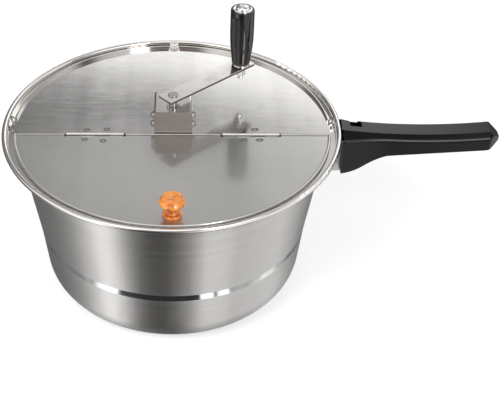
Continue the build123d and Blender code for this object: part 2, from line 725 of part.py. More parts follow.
def make_set_screw(outside, z):
    screw = set_screw_hole(SET_SCREW_RADIUS, outside, z)
    floor = Plane(origin=(0, outside - SET_SCREW_SOCKET_DEPTH, z), z_dir=(0, 1, 0))
    return screw - extrude(floor * RegularPolygon(SET_SCREW_SOCKET, 6), SET_SCREW_SOCKET_DEPTH + EXTRA)


def make_shaft_sleeve():
    sleeve = rod(SLEEVE_RADIUS, SLEEVE_BOTTOM, SLEEVE_TOP)
    sleeve -= rod(SHAFT_RADIUS, SLEEVE_BOTTOM - EXTRA, SLEEVE_TOP + EXTRA)
    return sleeve - set_screw_hole(SET_SCREW_RADIUS, SLEEVE_RADIUS + EXTRA, SLEEVE_SCREW_Z)


# --- Stirrer --------------------------------------------------------------------------

def make_stirrer_hub():
    hub = rod(HUB_RADIUS, HUB_BOTTOM, HUB_TOP)
    hub = chamfer(hub.edges().filter_by(GeomType.CIRCLE), HUB_CHAMFER)
    hub -= rod(SHAFT_RADIUS, SHAFT_BOTTOM, HUB_TOP + EXTRA)
    hub -= along_x(WIRE_RADIUS, -HUB_RADIUS - EXTRA, HUB_RADIUS + EXTRA, 0, HUB_WIRE_Z)
    return hub - set_screw_hole(SET_SCREW_RADIUS, HUB_RADIUS + EXTRA, HUB_SCREW_Z)


def make_stirrer_wire():
    """One bent wire through the hub, the same on both sides of the shaft."""
    end_angle = math.radians(STIRRER_END_ANGLE)
    arm = [
        (DROP_START, 0.0, HUB_WIRE_Z),
        (*DROP_END, WIRE_Z),
        (*SWEEP_BEND, WIRE_Z),
        (STIRRER_REACH * math.cos(end_angle), STIRRER_REACH * math.sin(end_angle), WIRE_Z),
    ]
    other = [(-x, -y, z) for x, y, z in reversed(arm)]
    path = FilletPolyline(*other, *arm, radius=WIRE_BEND)
    section = Plane(origin=path @ 0, z_dir=path % 0) * Circle(WIRE_RADIUS)
    return sweep(section, path=path)


# --- Crank arm, grip and bolt ---------------------------------------------------------

def at_crank_pin(shape):
    """Moves a shape built on the Z axis to the crank pin."""
    return around(Pos(CRANK_RADIUS, 0, 0) * shape, CRANK_ANGLE)


def make_crank_arm():
    half = ARM_WIDTH / 2
    bar = block((-ARM_OVERHANG, -half, ARM_BOTTOM), (CRANK_RADIUS + ARM_OVERHANG, half, ARM_TOP))
    bar = fillet(bar.edges().filter_by(Axis.Z), ARM_CORNER)
    bar -= rod(TENON_RADIUS, ARM_BOTTOM - EXTRA, ARM_TOP + EXTRA)
    bar -= rod(BOLT_RADIUS, ARM_BOTTOM - EXTRA, ARM_TOP + EXTRA, (CRANK_RADIUS, 0))
    return around(bar, CRANK_ANGLE)


def make_crank_grip():
    """A turned grip, widest in its upper half."""
    foot = (GRIP_FOOT_RADIUS, GRIP_BOTTOM)
    waist = (GRIP_WAIST_RADIUS, GRIP_BOTTOM + GRIP_WAIST_HEIGHT)
    top = (GRIP_TOP_RADIUS, GRIP_TOP)
    outline = [
        Line((0, GRIP_BOTTOM), foot),
        Spline(foot, waist, top),
        Line(top, (0, GRIP_TOP)),
        Line((0, GRIP_TOP), (0, GRIP_BOTTOM)),
    ]
    body = revolve(Plane.XZ * make_face(outline), Axis.Z)
    body = fillet(body.edges().filter_by(GeomType.CIRCLE), GRIP_EDGE)
    return at_crank_pin(body - rod(BOLT_RADIUS + RUNNING_CLEARANCE, GRIP_BOTTOM - EXTRA, GRIP_TOP + EXTRA))


def make_grip_bolt():
    base = GRIP_TOP + PLAY
    rim_top = base + BOLT_HEAD_RIM
    step_radius = BOLT_HEAD_RADIUS - BOLT_HEAD_STEP
    peak = rim_top + BOLT_HEAD_DOME
    outline = [
        Line((0, base), (BOLT_HEAD_RADIUS, base)),
        Line((BOLT_HEAD_RADIUS, base), (BOLT_HEAD_RADIUS, rim_top)),
        Line((BOLT_HEAD_RADIUS, rim_top), (step_radius, rim_top)),
        Spline((step_radius, rim_top), (0, peak), tangents=[(0, 1), (-1, 0)]),
        Line((0, peak), (0, base)),
    ]
    head = revolve(Plane.XZ * make_face(outline), Axis.Z)
    bolt = head + rod(BOLT_RADIUS, ARM_BOTTOM - BOLT_TAIL, base)
    for width, depth in ((CROSS_RECESS, CROSS_SLOT), (CROSS_SLOT, CROSS_RECESS)):
        bolt -= Pos(0, 0, peak) * Box(width, depth, CROSS_RECESS)
    return at_crank_pin(bolt)


def make_grip_nut():
    outline = RegularPolygon(NUT_FLATS / 2, 6, major_radius=False)
    nut = Pos(0, 0, ARM_BOTTOM - NUT_HEIGHT) * extrude(outline, NUT_HEIGHT)
    return at_crank_pin(nut - rod(BOLT_RADIUS, ARM_BOTTOM - NUT_HEIGHT - EXTRA, ARM_TOP))


def make_grip_washer():
    washer = rod(WASHER_RADIUS, ARM_TOP, ARM_TOP + WASHER_SHEET)
    return at_crank_pin(washer - rod(BOLT_RADIUS, ARM_BOTTOM, GRIP_TOP))


# --- Knob on the flap -----------------------------------------------------------------

def make_knob():
    """A turned wooden knob: a foot, a ring above a groove, a narrow neck and a broad flat head."""
    groove_radius = KNOB_RING_RADIUS - KNOB_GROOVE
    groove_top = KNOB_FOOT_RIM + KNOB_GROOVE
    ring_middle = (groove_top + KNOB_RING_TOP) / 2
    foot = [
        Line((0, 0), (KNOB_FOOT_RADIUS, 0)),
        ThreePointArc(
            (KNOB_FOOT_RADIUS, 0),
            (KNOB_FOOT_RADIUS + KNOB_GROOVE / 2, KNOB_FOOT_RIM / 2),
            (groove_radius, KNOB_FOOT_RIM),
        ),
        Line((groove_radius, KNOB_FOOT_RIM), (groove_radius, groove_top)),
        ThreePointArc(
            (groove_radius, groove_top),
            (KNOB_RING_RADIUS, ring_middle),
            (groove_radius, KNOB_RING_TOP),
        ),
    ]
    head = Spline(
        (groove_radius, KNOB_RING_TOP),
        (KNOB_NECK_RADIUS, KNOB_NECK_HEIGHT),
        (KNOB_RADIUS, KNOB_WIDEST),
        KNOB_CROWN,
        (0, KNOB_HEIGHT),
        tangents=[(-1, 1), (-1, 0)],
    )
    outline = make_face([*foot, head, Line((0, KNOB_HEIGHT), (0, 0))])
    knob = revolve(Plane.XZ * outline, Axis.Z) - rod(KNOB_SCREW_RADIUS, -EXTRA, KNOB_SCREW_DEPTH)
    return Pos(0, KNOB_Y, LID_TOP) * knob


def make_knob_washer():
    washer = rod(WASHER_RADIUS, LID_BOTTOM - WASHER_SHEET, LID_BOTTOM, (0, KNOB_Y))
    return washer - rod(KNOB_SCREW_RADIUS, LID_BOTTOM - WASHER_SHEET - EXTRA, LID_TOP, (0, KNOB_Y))


def make_knob_screw():
    seat = LID_BOTTOM - WASHER_SHEET
    head = rod(SCREW_HEAD_RADIUS, seat - SCREW_HEAD, seat, (0, KNOB_Y))
    head = fillet(head.edges().group_by(Axis.Z)[0], SCREW_HEAD / 3)
    slot = Pos(0, KNOB_Y, seat - SCREW_HEAD) * Box(3 * SCREW_HEAD_RADIUS, SCREW_SLOT, SCREW_HEAD)
    return head + rod(KNOB_SCREW_RADIUS, seat, LID_TOP + KNOB_SCREW_DEPTH, (0, KNOB_Y)) - slot


# --- Write every piece ----------------------------------------------------------------

os.makedirs("parts", exist_ok=True)

save("pot_body", make_pot_body())
save("handle_brace", make_handle_brace())
save("handle_grip", make_handle_grip())
save("handle_screw", make_handle_screw())
save("lid_back", make_lid_back())
save("lid_flap", make_lid_flap())
save("hinge_leaves_back", *make_leaves(False))
save("hinge_leaves_front", *make_leaves(True))
save("hinge_pins", *make_hinge_pins())
save("clip_right", make_tongue(TONGUE_SIDE_ANGLE))
save("clip_left", make_tongue(180 - TONGUE_SIDE_ANGLE))
save("clip_back", make_tongue(90))
save("crank_bracket", make_crank_bracket())
save("bracket_front", make_bracket_front())
save("bracket_rivets", *make_bracket_rivets())
save("bracket_bush", flanged_bush(BRACKET_TOP - BUSH_LENGTH, BRACKET_TOP))
save("lid_bush", flanged_bush(LID_BOTTOM - BUSH_TAIL, LID_TOP))
save("crank_shaft", make_crank_shaft())
save("shaft_sleeve", make_shaft_sleeve())
save("stirrer_hub", make_stirrer_hub())
save("set_screws", make_set_screw(SLEEVE_RADIUS, SLEEVE_SCREW_Z), make_set_screw(HUB_RADIUS, HUB_SCREW_Z))
save("stirrer_wire", make_stirrer_wire())
save("crank_arm", make_crank_arm())
save("grip_washer", make_grip_washer())
save("crank_grip", make_crank_grip())
save("grip_bolt", make_grip_bolt())
save("grip_nut", make_grip_nut())
save("lid_knob", make_knob())
save("knob_washer", make_knob_washer())
save("knob_screw", make_knob_screw())
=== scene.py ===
"""Looks of the stovetop popcorn popper: sheet steel, wire, wood and moulded plastic, set on a
pale table in a white studio. Metres, +Z up, in the CAD model's own frame.
"""

import json
import math

import bmesh
import bpy
from mathutils import Matrix, Vector


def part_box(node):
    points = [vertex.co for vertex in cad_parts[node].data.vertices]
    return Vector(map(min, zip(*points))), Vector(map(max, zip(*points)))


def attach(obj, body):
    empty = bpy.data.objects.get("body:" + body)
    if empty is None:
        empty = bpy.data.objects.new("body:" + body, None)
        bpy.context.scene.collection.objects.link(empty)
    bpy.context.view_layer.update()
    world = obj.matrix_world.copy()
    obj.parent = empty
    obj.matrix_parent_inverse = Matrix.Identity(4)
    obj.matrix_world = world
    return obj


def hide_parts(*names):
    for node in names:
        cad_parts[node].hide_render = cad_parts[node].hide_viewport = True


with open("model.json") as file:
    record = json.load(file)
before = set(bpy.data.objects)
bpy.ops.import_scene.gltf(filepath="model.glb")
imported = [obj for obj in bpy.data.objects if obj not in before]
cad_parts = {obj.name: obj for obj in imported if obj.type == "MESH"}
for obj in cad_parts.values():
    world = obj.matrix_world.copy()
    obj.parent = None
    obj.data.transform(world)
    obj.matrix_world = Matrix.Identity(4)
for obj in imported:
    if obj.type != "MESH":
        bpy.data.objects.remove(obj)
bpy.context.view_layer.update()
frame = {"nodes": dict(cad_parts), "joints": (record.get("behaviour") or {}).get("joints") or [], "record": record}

# Studio: how bright the surroundings are that metal and gloss mirror. Rings give pairs of a
# bearing, in degrees from the front towards the handle, and a brightness or a colour.
TABLE_RING = (
    (-180, 0.35), (-130, 0.45), (-86, 0.50), (-81, 1.40), (-60, 1.60), (-55, 0.05), (-20, 0.03),
    (20, 0.03), (26, 0.05), (30, 1.40), (39, 1.60), (42, 0.10), (46, 1.30), (56, 1.50), (60, 0.45),
    (110, 0.50), (180, 0.35),
)
LOW_RING = (
    (-180, 0.30), (-150, 0.12), (-112, 0.22), (-96, 0.25), (-84, 0.38), (-76, 0.65), (-67, 1.35),
    (-57, 2.00), (-48, 1.70), (-38, 0.85), (-30, 0.30), (-22, 0.11), (-12, 0.06), (-4, 0.12),
    (4, 0.28), (11, 0.62), (22, 1.10), (34, 1.15), (45, 1.05), (56, 1.00), (67, 1.25), (79, 0.95),
    (90, 1.20), (105, 1.00), (118, 0.50), (135, 0.20), (150, 0.20), (180, 0.30),
)
HIGH_RING = (
    (-180, 0.70), (-170, 0.40), (-150, 0.25), (-125, 0.30), (-100, 1.20), (-80, 1.50), (-62, 0.60),
    (-48, 1.60), (-30, 1.70), (-17, (0.46, 0.41, 0.37)), (-2, (0.38, 0.325, 0.29)),
    (14, (0.42, 0.375, 0.34)), (25, 1.50), (45, 1.30), (70, 0.60), (90, 1.40), (115, 0.90),
    (135, 0.80), (148, 1.95), (167, 1.95), (172, 0.80), (180, 0.70),
)

# Behind the pot, pairs of the mirrored direction's X and a brightness
BEHIND_FAR = (
    (-0.139, 0.26), (-0.104, 0.28), (-0.033, 0.32), (0.02, 0.36), (0.075, 0.44), (0.12, 0.52),
)
BEHIND_NEAR = (
    (-0.145, 0.34), (-0.122, 0.52), (-0.10, 0.62), (-0.07, 0.72), (-0.03, 0.75), (0.01, 0.70),
    (0.025, 0.58), (0.045, 0.56), (0.07, 0.66), (0.12, 0.74),
)
BEHIND_WIDTH = 0.16

# Single levels
SCREEN_BEHIND = 1.75
ZENITH = 1.10
OVER_HANDLE = 0.20
FRONT_TOP = 1.70
BACK_TOP = 0.50
UNDER_POT = 0.04
BLACK = 0.0
AMBIENT = 0.60
BRIGHTEST = 2.0
TABLE_GLOW = 0.42
TABLE_TONES = ((0.80, 0.80, 0.80), (0.84, 0.84, 0.84))
TABLE_HALF = 3.0

# From where to where one part of the studio passes into the next, on one axis of the mirrored
# direction
UNDER_POT_Z = (-0.93, -0.84)
TABLE_TO_LOW_Z = (-0.80, -0.76)
LOW_TO_HIGH_Z = (0.05, 0.40)
HIGH_TO_TOP_Z = (0.66, 0.80)
TOP_TO_ZENITH_Z = (0.90, 0.96)
FRONT_TO_BACK_Y = (-0.30, 0.10)
OVER_HANDLE_X = (0.10, 0.18)
OVER_HANDLE_Z = (0.90, 0.95)
FAR_TO_NEAR_Z = (0.556, 0.568)
NEAR_DARKENS_Z = (0.585, 0.625)
BEHIND_EDGE_X = (0.16, 0.22)
BEHIND_EDGE_Y = (0.3, 0.6)
BEHIND_BOTTOM_Z = (0.42, 0.47)
BEHIND_TOP_Z = (0.64, 0.70)

# Top edge of the slanted screen behind the pot: its Z at X = 0, its slope and its softness
SCREEN_EDGE_Z = 0.526
SCREEN_EDGE_SLOPE = 0.177
SCREEN_EDGE_SOFTNESS = 0.010

# Camera: found by matching the rim's ellipse, the wall's outline and the handle
CAMERA_DISTANCE = 0.897
CAMERA_AZIMUTH = -4.504
CAMERA_ELEVATION = 38.26
CAMERA_ROLL = 2.75
CAMERA_TARGET = (0.06193, -0.00488, 0.05952)
FOCAL_LENGTH = 79.2
SENSOR_WIDTH = 36.0

MM = 0.001
TURNED_SEGMENTS = 96
RIVET_SEGMENTS = 32


def outside(node):
    """Lowest and highest corner of a node, and its middle."""
    low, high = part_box(node)
    return low, high, (low + high) / 2


# --- Shader helpers -------------------------------------------------------------------

class Value:
    """A number that a socket gives. Arithmetic on it adds Math nodes."""

    def __init__(self, finish, socket):
        self.finish = finish
        self.socket = socket

    def _math(self, operation, left, right=None):
        values = {0: left} if right is None else {0: left, 1: right}
        return self.finish.node("ShaderNodeMath", {"operation": operation}, values)

    def __add__(self, other):
        return self._math("ADD", self, other)

    def __radd__(self, other):
        return self._math("ADD", other, self)

    def __sub__(self, other):
        return self._math("SUBTRACT", self, other)

    def __rsub__(self, other):
        return self._math("SUBTRACT", other, self)

    def __mul__(self, other):
        return self._math("MULTIPLY", self, other)

    def __rmul__(self, other):
        return self._math("MULTIPLY", other, self)

    def __truediv__(self, other):
        return self._math("DIVIDE", self, other)

    def __gt__(self, other):
        return self._math("GREATER_THAN", self, other)

    def __lt__(self, other):
        return self._math("LESS_THAN", self, other)

    def __abs__(self):
        return self._math("ABSOLUTE", self)

    def highest(self, other):
        """The higher of two numbers."""
        return self._math("MAXIMUM", self, other)

    def root(self):
        """The square root."""
        return self._math("SQRT", self)

    def ramp(self, start, end, low=0.0, high=1.0):
        """Rises smoothly from low at start to high at end."""
        values = {"Value": self, "From Min": start, "From Max": end, "To Min": low, "To Max": high}
        return self.finish.node("ShaderNodeMapRange", {"interpolation_type": "SMOOTHSTEP"}, values)


class Graph:
    """A node tree, and the one method that adds a node to it."""

    def __init__(self, tree):
        self.tree = tree
        self.tree.nodes.clear()

    def node(self, kind, settings=None, values=None, out=0):
        """Adds a node: its settings first, then the values or links of its sockets. Gives one of
        its outputs, if it has any."""
        new = self.tree.nodes.new(kind)
        for name, setting in (settings or {}).items():
            if name == "stops":
                self.set_stops(new.color_ramp, setting)
            else:
                setattr(new, name, setting)
        for name, value in (values or {}).items():
            if isinstance(value, Value):
                self.tree.links.new(value.socket, new.inputs[name])
            else:
                new.inputs[name].default_value = value
        return Value(self, new.outputs[out]) if new.outputs else None

    def set_stops(self, ramp, stops):
        """Gives a ramp its (position, colour) stops, with smooth steps between them."""
        ramp.interpolation = "EASE"
        while len(ramp.elements) < len(stops):
            ramp.elements.new(0.5)
        for element, (position, colour) in zip(ramp.elements, stops):
            element.position = position
            element.color = (*colour, 1.0)

    def split(self, vector):
        """X, Y and Z of a vector as three numbers."""
        sockets = self.node("ShaderNodeSeparateXYZ", None, {"Vector": vector}).socket.node.outputs
        return [Value(self, socket) for socket in sockets]


class Finish(Graph):
    """A material, or the world, with the few calls that its recipe needs."""

    def __init__(self, owner):
        owner.use_nodes = True
        self.owner = owner
        super().__init__(owner.node_tree)

    def place(self):
        """Object coordinates."""
        return self.node("ShaderNodeTexCoord", out="Object")

    def stretched(self, scale, turn=(0.0, 0.0, 0.0)):
        """Object coordinates, scaled and turned for a pattern with a direction."""
        values = {"Vector": self.place(), "Rotation": turn, "Scale": scale}
        return self.node("ShaderNodeMapping", None, values)

    def noise(self, scale, detail=3.0, roughness=0.5, where=None):
        """Cloudy noise from 0 to 1, plain or on stretched coordinates."""
        values = {"Scale": scale, "Detail": detail, "Roughness": roughness}
        values["Vector"] = where or self.place()
        return self.node("ShaderNodeTexNoise", None, values)

    def axes(self):
        """X, Y and Z of the object coordinates as three numbers."""
        return self.split(self.place())

    def blend(self, share, first, second):
        """A colour between two colours."""
        first, second = (c if isinstance(c, Value) else (*c, 1.0) for c in (first, second))
        values = {0: share, 6: first, 7: second}
        return self.node("ShaderNodeMix", {"data_type": "RGBA"}, values, 2)

    def bump(self, height, strength, distance, after=None):
        """A normal tilted by a height, on top of an earlier bump if there is one."""
        values = {"Strength": strength, "Distance": distance, "Height": height}
        if after is not None:
            values["Normal"] = after
        return self.node("ShaderNodeBump", None, values)

    def surface(self, **values):
        """The Principled shader, straight to the output."""
        sockets = {}
        for name, value in values.items():
            sockets[name.replace("_", " ").title().replace("Ior", "IOR")] = value
        shader = self.node("ShaderNodeBsdfPrincipled", None, sockets)
        self.node("ShaderNodeOutputMaterial", None, {"Surface": shader})
        return self.owner

    def overlay(self, share, shader):
        """Mixes another shader over the one that reaches the output."""
        output = self.tree.nodes["Material Output"].inputs["Surface"]
        first = Value(self, output.links[0].from_socket)
        mix = self.node("ShaderNodeMixShader", None, {"Fac": share, 1: first, 2: shader})
        self.tree.links.new(mix.socket, output)


def new_finish(name):
    """A new, still empty finish."""
    return Finish(bpy.data.materials.new(name))


# --- Metals ---------------------------------------------------------------------------

STEEL = (0.70, 0.69, 0.675)
STEEL_DARK = (0.52, 0.51, 0.50)
STEEL_BRIGHT = (0.80, 0.795, 0.78)
STEEL_WARM = (0.74, 0.715, 0.69)
# Colour of a sheet's edge, darker than the steel: a painted reflection of the dark front that the edge faces
SHEET_EDGE_PAINTED_DARK = (0.13, 0.12, 0.115)
FINGER_MARK = (0.42, 0.40, 0.385)
STREAK_SHARE = 0.12
STREAK_SHADE = 0.78
CUT_TOP = 0.35 * MM
CUT_BOTTOM = 0.1 * MM
HAZE = (0.56, 0.555, 0.545)


def wall_steel():
    """Brushed round the wall, with a polished band, rim and ledge."""
    f = new_finish("wall_steel")
    x, y, z = f.axes()
    radius = (x * x + y * y).root()
    above = (z - BAND_TOP).ramp(0.0, BAND_EDGE, 1.0, 0.0)
    below = (BAND_TOP - BAND_WIDTH - z).ramp(0.0, BAND_EDGE, 1.0, 0.0)
    in_band = above * below * (radius > BAND_RADIUS - 5 * MM)
    at_rim = radius.ramp(WALL_TOP_RADIUS + 0.2 * MM, WALL_TOP_RADIUS + 1.2 * MM)
    mirror = in_band.highest(at_rim)
    grain = f.noise(1.0, 3.0, 0.7, f.stretched((30.0, 30.0, 4200.0)))
    streaks = f.noise(1.0, 2.0, 0.5, f.stretched((5.0, 5.0, 300.0)))
    haze = f.noise(12.0, 3.0, 0.5)
    brushed = 0.36 + 0.07 * (streaks - 0.5) + 0.05 * (haze - 0.5)
    roughness = brushed * (1 - mirror) + 0.07 * mirror
    tone = f.blend(streaks * 0.5 + grain * 0.5, STEEL_DARK, STEEL)
    tone = f.blend(in_band, tone, STEEL_BRIGHT)
    tone = f.blend(at_rim, tone, STEEL_WARM)
    return f.surface(
        base_color=tone,
        metallic=1.0,
        roughness=roughness,
        anisotropic=0.85,
        anisotropic_rotation=0.25,
        normal=f.bump(grain * (1 - mirror), 0.5, 0.02 * MM),
    )


def lid_steel(name, tones, base_roughness, haze=0.0):
    """Fine satin sheet, brushed along X, with faint smears and a gentle wave in the sheet. A haze
    of fine wear softens what it mirrors."""
    f = new_finish(name)
    grain = f.noise(1.0, 3.0, 0.7, f.stretched((20.0, 4200.0, 900.0)))
    streaks = f.noise(1.0, 2.0, 0.5, f.stretched((45.0, 2.5, 2.5)))
    smears = f.noise(16.0, 4.0, 0.6)
    prints = f.noise(55.0, 3.0, 0.65)
    uneven = 0.03 * (streaks - 0.5) + 0.06 * smears.ramp(0.50, 0.75) + 0.03 * (prints - 0.5)
    tone = f.blend(streaks.ramp(0.25, 0.75) * 0.5 + smears * 0.5, *tones)
    tone = f.blend(prints.ramp(0.58, 0.74, 0.0, 0.22), tone, FINGER_MARK)
    wave = f.bump(f.noise(7.0, 1.0, 0.4), 0.35, 1.0 * MM)
    normal = f.bump(grain, 0.5, 0.022 * MM, wave)
    f.surface(base_color=tone, metallic=1.0, roughness=base_roughness + uneven, normal=normal)
    if haze > 0:
        values = {"Color": (*HAZE, 1.0), "Roughness": 0.45}
        dull = f.node("ShaderNodeBsdfAnisotropic", None, values)
        f.overlay(haze + 0.2 * (smears - 0.5), dull)
    return f.owner


def bright_steel(name, tone, base_roughness, scratch_scale, turn=0.0, sheet=None):
    """Polished small parts, with fine scratches and finger marks. Between the heights of a flat sheet's two faces,
    its sheared edge is rougher and painted dark: the roughness is the edge's own, the dark colour a painted
    reflection of the dark front that the edge faces."""
    f = new_finish(name)
    turned_by = (0.0, 0.0, turn)
    streak_scale = tuple(STREAK_SHARE * size for size in scratch_scale)
    scratches = f.noise(1.0, 4.0, 0.7, f.stretched(scratch_scale, turned_by))
    streaks = f.noise(1.0, 3.0, 0.6, f.stretched(streak_scale, turned_by))
    marks = f.noise(60.0, 2.0, 0.5)
    roughness = base_roughness + 0.05 * marks.ramp(0.45, 0.70) + 0.05 * (scratches - 0.5)
    darker = tuple(STREAK_SHADE * part for part in tone)
    colour = f.blend(marks.ramp(0.40, 0.80) * 0.3 + streaks * 0.7, tone, darker)
    if sheet is not None:
        bottom, top = sheet
        height = f.axes()[2]
        # Painted reflection: the sheet's edge is painted dark for the dark front that it faces, and is made
        # rougher
        below_top = (top - CUT_TOP - height).ramp(0.0, CUT_BOTTOM)
        edge_painted_dark = below_top * (height > bottom + CUT_BOTTOM)
        colour = f.blend(edge_painted_dark, colour, SHEET_EDGE_PAINTED_DARK)
        roughness = roughness * (1 - edge_painted_dark) + 0.45 * edge_painted_dark
    normal = f.bump(scratches, 0.25, 0.01 * MM)
    return f.surface(base_color=colour, metallic=1.0, roughness=roughness, normal=normal)


# --- Wood and plastics ----------------------------------------------------------------

WOOD = (0.82, 0.21, 0.012)
WOOD_LIGHT = (0.92, 0.36, 0.035)
WOOD_DARK = (0.45, 0.060, 0.005)
HANDLE_BLACK = (0.0032, 0.0025, 0.0024)
GRIP_BLACK = (0.004, 0.004, 0.004)
WORN_SHADE = 1.9


def varnished_wood():
    """Orange turned wood with a curly figure, under a thick clear varnish."""
    f = new_finish("varnished_wood")
    figure = f.noise(1.0, 2.0, 0.5, f.stretched((150.0, 190.0, 110.0)))
    curl = f.noise(1.0, 3.0, 0.6, f.stretched((260.0, 60.0, 260.0), (0.0, 0.0, 0.5)))
    pores = f.noise(1.0, 3.0, 0.6, f.stretched((1500.0, 260.0, 1500.0)))
    tone = f.blend(curl.ramp(0.35, 0.65), WOOD, WOOD_LIGHT)
    tone = f.blend(figure.ramp(0.50, 0.66, 0.0, 0.85), tone, WOOD_DARK)
    tone = f.blend(pores.ramp(0.60, 0.80, 0.0, 0.35), tone, WOOD_DARK)
    return f.surface(
        base_color=tone,
        roughness=0.36 + 0.12 * (pores - 0.5),
        coat_weight=1.0,
        coat_roughness=0.05,
        specular_ior_level=0.5,
        normal=f.bump(figure, 0.18, 0.5 * MM),
    )


def moulded_black(name, tone, base_roughness, grain_height, shine, recess=None):
    """Black moulded plastic with a faint moulding texture. In a recess, given by its lowest and highest corner, it
    is matt and darker: painted shade that stands in for the shade inside the recess."""
    f = new_finish(name)
    grain = f.noise(1300.0, 2.0, 0.5)
    wear = f.noise(28.0, 4.0, 0.6)
    streaks = f.noise(1.0, 3.0, 0.6, f.stretched((25.0, 420.0, 420.0)))
    roughness = base_roughness * (1.0 + 0.35 * (wear - 0.5) + 0.25 * (streaks - 0.5))
    worn = tuple(WORN_SHADE * part for part in tone)
    colour = f.blend(wear * 0.6 + streaks * 0.4, tone, worn)
    normal = f.bump(grain, 0.30, grain_height)
    f.surface(base_color=colour, roughness=roughness, specular_ior_level=shine, normal=normal)
    if recess is not None:
        in_painted_shade = 1.0
        for place, low, high in zip(f.axes(), *recess):
            in_painted_shade = in_painted_shade * (place > low) * (place < high)
        # Painted shade: inside the recess a matt, darker finish stands in for the shade that falls there
        dull = f.node("ShaderNodeBsdfDiffuse", None, {"Color": (*tone, 1.0), "Roughness": 0.8})
        f.overlay(in_painted_shade, dull)
    return f.owner


# --- Frame sizes used below -----------------------------------------------------------

RIM_RADIUS = outside("pot_body")[1].x
BAND_TOP = 58.5 * MM
BAND_WIDTH = 5.6 * MM
BAND_EDGE = 0.2 * MM
BAND_RADIUS = RIM_RADIUS - 22.8 * MM
WALL_TOP_RADIUS = RIM_RADIUS - 11.5 * MM
LID_TOP = outside("lid_knob")[0].z
ARM_SHEET = [corner.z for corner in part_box("crank_arm")]
JOINTS = {joint["name"]: joint for joint in frame["joints"]}
PIN_X, PIN_Y, _ = JOINTS["grip_spin"]["pos_m"]
CRANK_ANGLE = math.atan2(PIN_Y, PIN_X)

# The recess in the handle's root, as its lowest and highest corner: the box where the handle gets painted shade
handle_low, handle_high, _ = outside("handle_grip")
RECESS_LENGTH = 16.0 * MM
RECESS_HEIGHTS = (7.2 * MM, 0.8 * MM)
PAINTED_SHADE_RECESS = (
    (handle_low.x - MM, 0.1 * MM, handle_high.z - RECESS_HEIGHTS[0]),
    (handle_low.x + RECESS_LENGTH, handle_high.y + MM, handle_high.z - RECESS_HEIGHTS[1]),
)

# Turned pieces: (radius, height) pairs from the bottom middle to the top middle, in mm
GRIP_OUTLINE = (
    (0, 0), (6.5, 0), (7.0, 0.2), (7.3, 0.8), (7.5, 3.0), (7.9, 7.0), (8.4, 11.5), (8.85, 16.0),
    (9.15, 20.0), (9.3, 24.0), (9.3, 30.0), (9.3, 36.0), (9.25, 45.9), (9.1, 46.6), (8.7, 47.1),
    (8.2, 47.2), (7.85, 47.0), (7.75, 46.6), (7.75, 45.6), (2.4, 45.6), (2.4, 44.0), (0, 44.0),
)
BOLT_OUTLINE = (
    (0, 0), (1.9, 0), (2.25, 0.4), (2.25, 60.2), (7.2, 60.2), (7.55, 60.45), (7.55, 61.15),
    (7.3, 61.5), (6.7, 61.65), (6.3, 61.55), (6.0, 61.25), (5.6, 61.15), (5.45, 61.4), (5.4, 62.1),
    (5.1, 62.75), (4.3, 63.4), (3.2, 63.9), (2.1, 64.15), (1.7, 64.18), (1.5, 64.05), (1.4, 63.4),
    (0, 63.3),
)
RIVET_OUTLINE = (
    (0, -2.8), (1.7, -2.8), (1.9, -2.5), (1.8, -2.0), (1.2, -1.9), (1.2, 0.0), (2.5, 0.0),
    (2.75, 0.3), (2.6, 1.1), (2.1, 1.9), (1.4, 2.5), (0.7, 2.8), (0, 2.85),
)
rivet_middle = outside("bracket_rivets")[2]
bracket_low, bracket_high, _ = outside("crank_bracket")
RIVET_MARGIN = 3.9 * MM

# Spot welds: X and Y in mm, and the ring that each one leaves
WELDS_BACK = ((-66, -3.0), (-51, -2.4), (51, -2.4), (63, -1.6))
WELDS_FLAP = ((-67, -16.0), (-53, -17.6), (54, -16.4), (66, -16.0))
WELD_WIDTH = 3.2 * MM
WELD_RIM = 0.5 * MM
WELD_SEED = 7

MERGE_DISTANCE = 0.002 * MM
CLOSE_DISTANCE = 0.001 * MM


# --- Meshes ---------------------------------------------------------------------------

def new_object(name, mesh):
    """An object in the scene, at the origin."""
    obj = bpy.data.objects.new(name, mesh)
    bpy.context.scene.collection.objects.link(obj)
    return obj


def shade(obj, angle=35.0):
    """Smooth shading, with creases where faces meet sharply."""
    mesh = obj.data
    mesh.polygons.foreach_set("use_smooth", [True] * len(mesh.polygons))
    mesh.set_sharp_from_angle(angle=math.radians(angle))
    return obj


def softened(node, name, edge, angle, shoulder):
    """A copy of a CAD node with its sharp edges rounded, and more so the long steep edges along
    its sides where a shoulder is given."""
    mesh = frame["nodes"][node].data.copy()
    mesh.name = name
    mesh.materials.clear()
    work = bmesh.new()
    work.from_mesh(mesh)
    bmesh.ops.remove_doubles(work, verts=work.verts, dist=MERGE_DISTANCE)
    flat_angle = math.radians(0.3)
    bmesh.ops.dissolve_limit(work, angle_limit=flat_angle, verts=work.verts, edges=work.edges)
    work.normal_update()
    if shoulder > 0:
        weights = work.edges.layers.float.new("bevel_weight_edge")
        for corner in work.edges:
            corner[weights] = 1.0 if is_shoulder(corner) else 0.0
    work.to_mesh(mesh)
    work.free()
    if "custom_normal" in mesh.attributes:
        mesh.attributes.remove(mesh.attributes["custom_normal"])
    obj = shade(new_object(name, mesh))
    if shoulder > 0:
        wide = obj.modifiers.new("shoulder", "BEVEL")
        wide.width = shoulder
        wide.segments = 6
        wide.limit_method = "WEIGHT"
        wide.use_clamp_overlap = False
    if edge > 0:
        bevel = obj.modifiers.new("edges", "BEVEL")
        bevel.width = edge
        bevel.segments = 2
        bevel.limit_method = "ANGLE"
        bevel.angle_limit = math.radians(angle)
        bevel.harden_normals = True
    flat = obj.modifiers.new("flat faces stay flat", "WEIGHTED_NORMAL")
    flat.weight = 80
    flat.keep_sharp = True
    settle(obj)
    return obj


